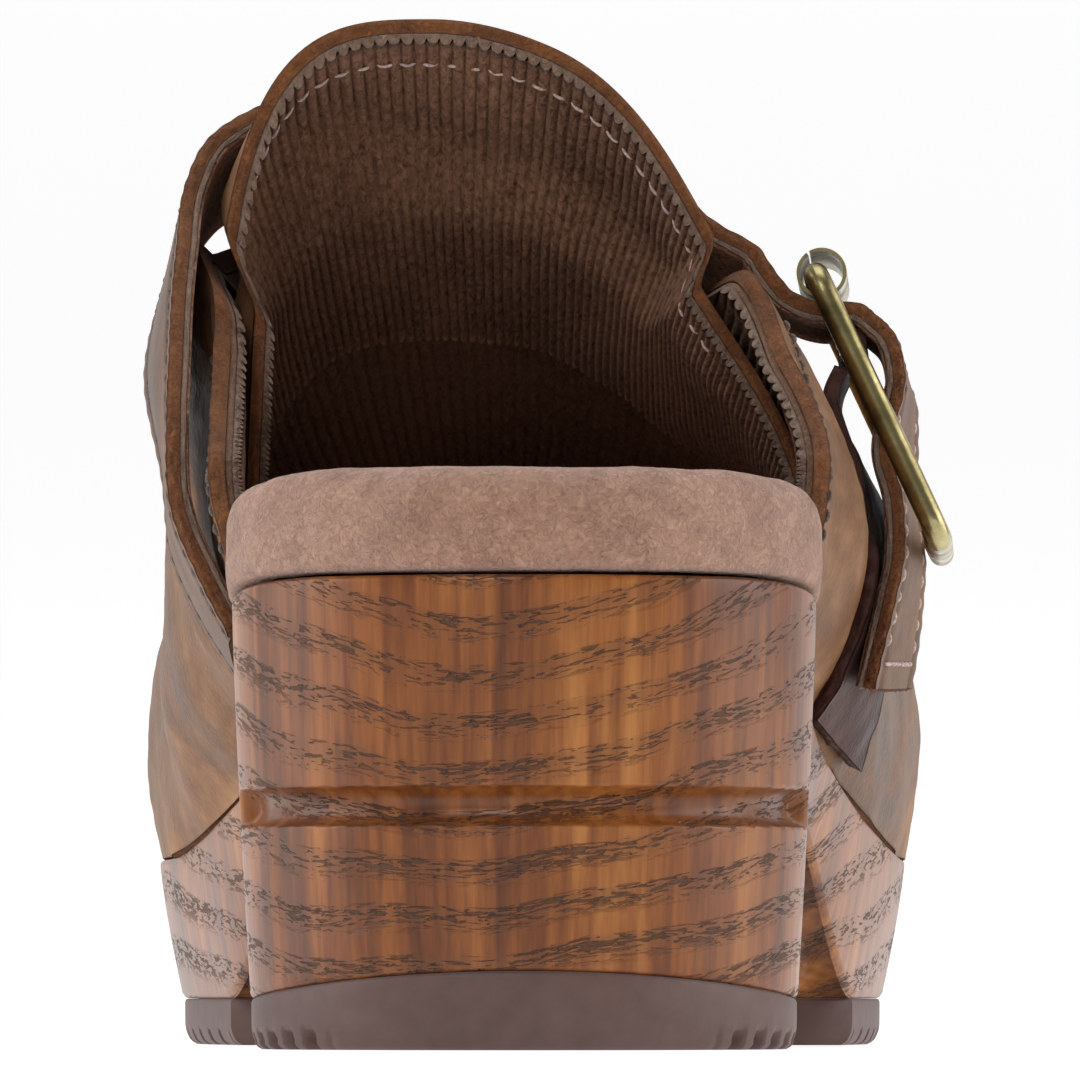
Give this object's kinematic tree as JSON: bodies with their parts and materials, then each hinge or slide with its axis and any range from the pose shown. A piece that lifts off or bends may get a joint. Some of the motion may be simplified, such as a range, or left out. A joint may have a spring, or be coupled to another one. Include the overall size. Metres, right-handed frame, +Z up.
{
  "type": "wooden clog",
  "caption": "Right-foot wooden clog: carved heel and platform, padded footbed, closed leather toe and a buckled strap over the instep.",
  "frame": {"origin": "middle of the heel's tread, on the ground", "axes": "+Y to the toe, +X to the outer side of a right shoe, +Z up"},
  "size_m": [0.1006, 0.2607, 0.124],
  "materials": {
    "wood": "satin lacquered oak with dark open pores",
    "rubber": "dark brown moulded tread rubber",
    "nail_steel": "dull steel",
    "board": "pressed fibre",
    "foam": "open foam",
    "suede": "napped taupe suede",
    "leather": "oiled brown leather with raw edges",
    "padding": "pale knitted padding",
    "lining": "brown corduroy",
    "anchor_leather": "dark red-brown leather",
    "brass": "antique brass, worn on the high side"
  },
  "bodies": {
    "shoe": {"wood_base": "wood", "heel_lift": "rubber", "forefoot_sole": "rubber", "heel_lift_nails": "nail_steel", "forefoot_sole_nails": "nail_steel", "insole_board": "board", "footbed_foam": "foam", "footbed_cover": "suede", "vamp_leather": "leather", "vamp_padding": "padding", "toe_puff": "board", "vamp_lining": "lining", "lasting_tacks": "nail_steel", "tongue_leather": "leather", "tongue_lining": "lining", "instep_strap_leather": "leather", "instep_strap_lining": "lining", "anchor_strap": "anchor_leather"},
    "buckle": {"buckle_frame": "brass"},
    "roller": {"buckle_roller": "brass"}
  },
  "joints": [
    {"name": "buckle_swing", "type": "hinge", "parent": "shoe", "child": "buckle", "pos_m": [0.03911, 0.05448, 0.08528], "axis": [0.0401, 0.9982, -0.0436], "range_deg": [-1, 0.5]},
    {"name": "roller_spin", "type": "hinge", "parent": "buckle", "child": "roller", "pos_m": [0.03592, 0.05499, 0.09392], "axis": [0.0401, 0.9982, -0.0436], "continuous": true}
  ]
}
